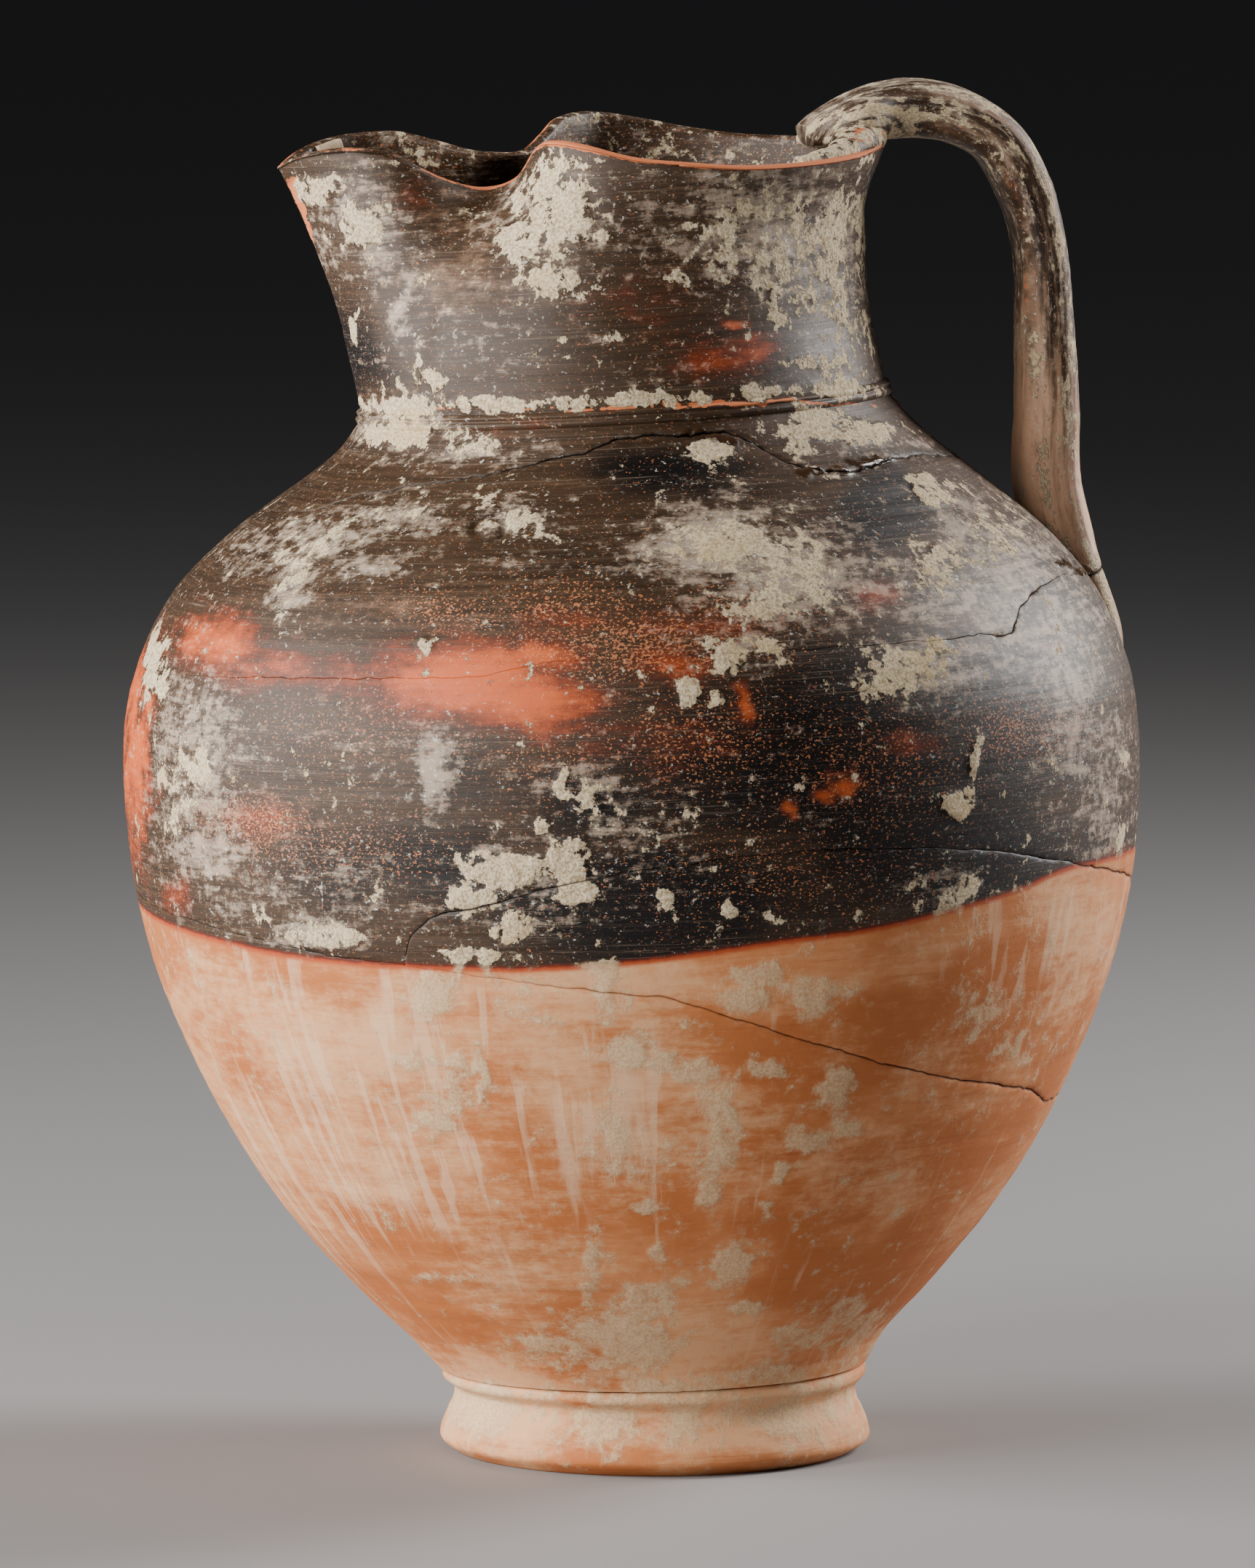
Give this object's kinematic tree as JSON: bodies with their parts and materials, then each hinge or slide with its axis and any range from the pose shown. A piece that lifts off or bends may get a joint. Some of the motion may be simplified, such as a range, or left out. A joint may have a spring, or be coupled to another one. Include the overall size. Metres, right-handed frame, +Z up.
{
  "type": "trefoil-mouthed jug",
  "caption": "Wheel-made clay jug with a round belly on a flaring foot, a wide neck with a pinched pouring lip and a high strap handle, mended from sherds.",
  "frame": {"origin": "the centre of the foot's underside, on the surface the jug stands on", "axes": "+Z up; the pouring lip points along -X and the handle stands on the +X side, with its root turned 9 degrees towards +Y; the side seen in the picture faces -Y"},
  "size_m": [0.2224, 0.2218, 0.3006],
  "materials": {
    "bare_clay": "matt",
    "dark_slip": "satin",
    "brown_slip": "satin",
    "plaster_fill": "matt"
  },
  "bodies": {
    "root": {"foot": "bare_clay", "base_sherd": "bare_clay", "belly_wedge_sherd": "bare_clay", "belly_sherd": "dark_slip", "shoulder_sherd": "dark_slip", "upper_shoulder_sherd": "brown_slip", "neck_fillet": "bare_clay", "neck": "brown_slip", "spout_fill": "plaster_fill", "handle": "brown_slip", "handle_root": "brown_slip"}
  },
  "joints": []
}
